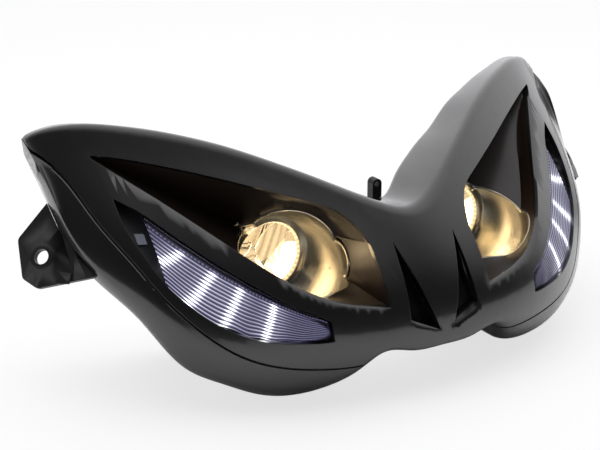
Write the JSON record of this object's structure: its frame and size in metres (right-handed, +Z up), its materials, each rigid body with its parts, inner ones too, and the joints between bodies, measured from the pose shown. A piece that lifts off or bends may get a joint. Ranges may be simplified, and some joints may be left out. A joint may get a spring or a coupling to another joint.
{
  "type": "twin headlight",
  "caption": "Motorbike twin headlight: a winged black shell with halogen spot lamps in chromed cups, curved light strips below them and a mounting ear at each end.",
  "frame": {"origin": "middle of the part's outline seen from above, on the surface that it rests on", "axes": "+X across to the right of someone who faces the lamps, +Y to the rear, +Z up"},
  "size_m": [0.458, 0.1918, 0.1644],
  "materials": {
    "gloss_black": "black, moulded, high gloss",
    "satin_black": "black, moulded, satin",
    "chrome": "vacuum metallised plastic",
    "mirror_coat": "fluted glass with a mirror coat",
    "clear_glass": "polished flat glass",
    "lit_quartz": "quartz capsule, lit warm white",
    "clear_plastic": "clear ribbed plastic",
    "lit_diode": "white diode, lit cold white",
    "circuit_board": "white solder mask",
    "pale_ceramic": "unglazed ceramic",
    "seal_rubber": "matt black rubber",
    "zinc_steel": "zinc plated steel"
  },
  "bodies": {
    "root": {"front_cover": "gloss_black", "seam_gasket": "seal_rubber", "rear_housing": "satin_black", "saddle_lug": "satin_black", "housing_screws": "zinc_steel", "left_lamp_cup": "chrome", "left_halogen_reflector": "mirror_coat", "left_halogen_glass": "clear_glass", "left_halogen_capsule": "lit_quartz", "left_lamp_retainer": "zinc_steel", "left_lamp_holder": "pale_ceramic", "left_rear_boot": "seal_rubber", "left_lamp_pocket": "gloss_black", "left_strip_tray": "satin_black", "left_strip_board": "circuit_board", "left_strip_diodes": "lit_diode", "left_strip_lens": "clear_plastic", "left_mounting_ear": "satin_black", "right_lamp_cup": "chrome", "right_halogen_reflector": "mirror_coat", "right_halogen_glass": "clear_glass", "right_halogen_capsule": "lit_quartz", "right_lamp_retainer": "zinc_steel", "right_lamp_holder": "pale_ceramic", "right_rear_boot": "seal_rubber", "right_lamp_pocket": "gloss_black", "right_strip_tray": "satin_black", "right_strip_board": "circuit_board", "right_strip_diodes": "lit_diode", "right_strip_lens": "clear_plastic", "right_mounting_ear": "satin_black"}
  },
  "joints": []
}
